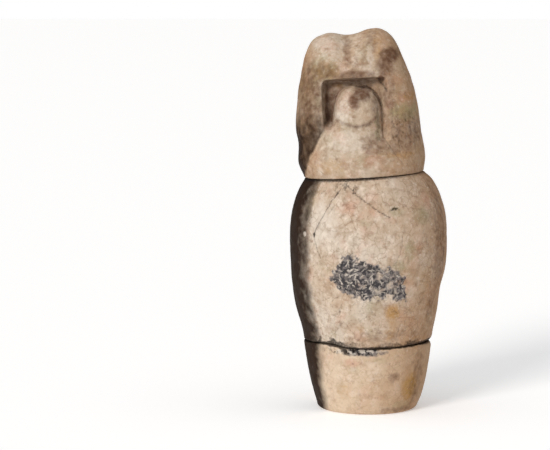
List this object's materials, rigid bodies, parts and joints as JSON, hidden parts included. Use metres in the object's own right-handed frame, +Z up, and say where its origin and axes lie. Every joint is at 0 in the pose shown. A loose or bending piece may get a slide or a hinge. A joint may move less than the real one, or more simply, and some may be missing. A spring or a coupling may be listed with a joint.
{
  "type": "canopic jar",
  "caption": "Hollow stone canopic jar with high shoulders, a broken and refitted foot, and a loose lid carved as a worn dog's head in a wig.",
  "frame": {"origin": "centre of the underside of the foot", "axes": "+Z up along the jar, -Y out of the muzzle of the carved head, +X to the right of someone facing the muzzle"},
  "size_m": [0.1478, 0.1483, 0.3574],
  "materials": {
    "jar_calcite": "worn hand-polished calcite, ivory to warm beige, with dirt in its cracks",
    "foot_calcite": "worn hand-polished calcite, a little browner than the jar",
    "lid_calcite": "weathered carved calcite with brown, ochre and grey stains"
  },
  "bodies": {
    "root": {"jar_foot": "foot_calcite", "jar_body": "jar_calcite", "lid": "lid_calcite"}
  },
  "joints": []
}
